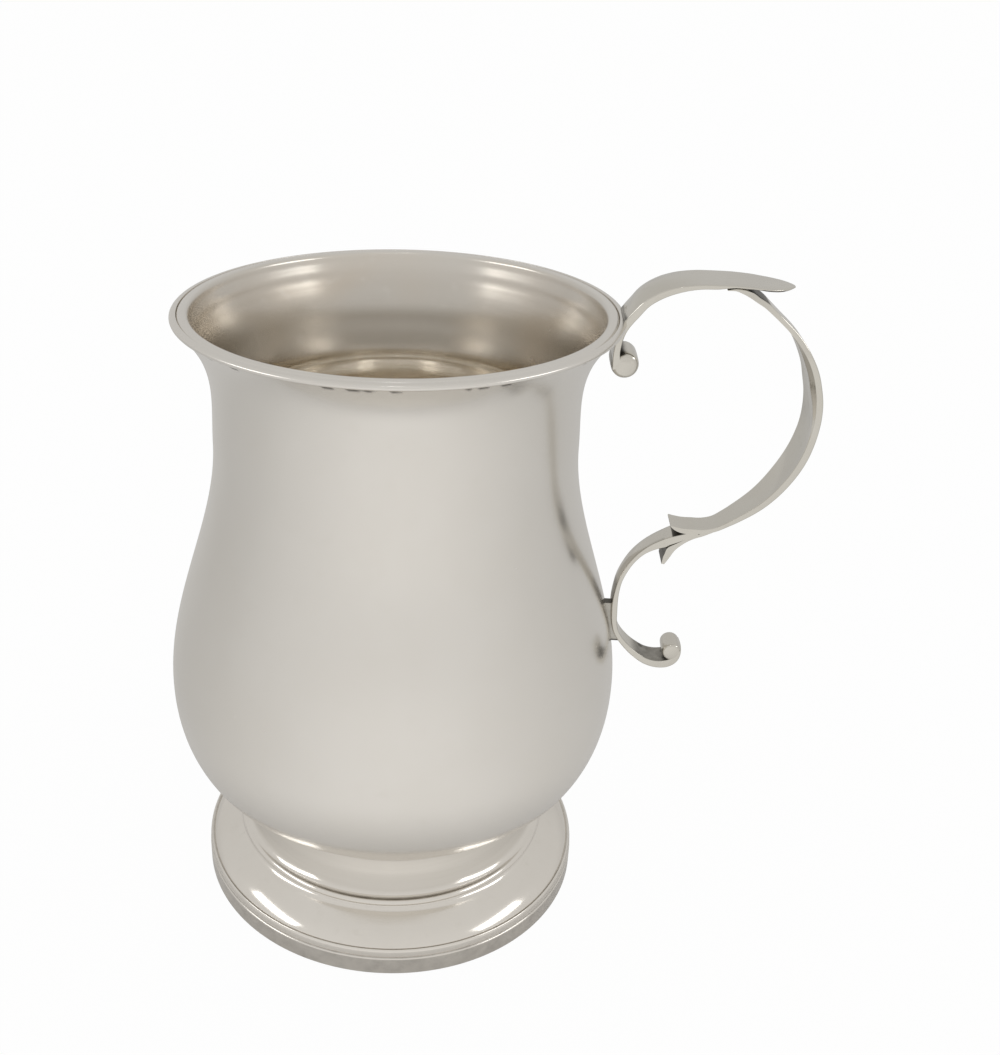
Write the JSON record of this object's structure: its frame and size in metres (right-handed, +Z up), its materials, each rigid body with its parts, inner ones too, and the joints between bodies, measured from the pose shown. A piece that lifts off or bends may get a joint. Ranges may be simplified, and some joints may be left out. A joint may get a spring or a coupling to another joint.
{
  "type": "baluster tankard",
  "caption": "Silver baluster tankard with a wired rim, a spreading stepped foot and a double-scroll strap handle with a leaf thumb rest.",
  "frame": {"origin": "on the table, under the middle of the whole outline, which lies between the vessel's own axis and the handle", "axes": "+X towards the handle, +Y across it, +Z up out of the mouth"},
  "size_m": [0.126, 0.0928, 0.1346],
  "materials": {
    "polished_silver": "polished silver with fine wear, warm grey",
    "foot_silver": "polished silver, a little duller and finely scratched",
    "cast_silver": "polished cast silver, darker in the notches"
  },
  "bodies": {
    "root": {"body": "polished_silver", "rim_wire": "polished_silver", "collar_ring": "polished_silver", "foot": "foot_silver", "foot_rim": "foot_silver", "thumb_strap": "cast_silver", "upper_volute": "cast_silver", "grip_scroll": "cast_silver", "lower_scroll": "cast_silver", "end_volute": "cast_silver", "lower_lug": "cast_silver"}
  },
  "joints": []
}
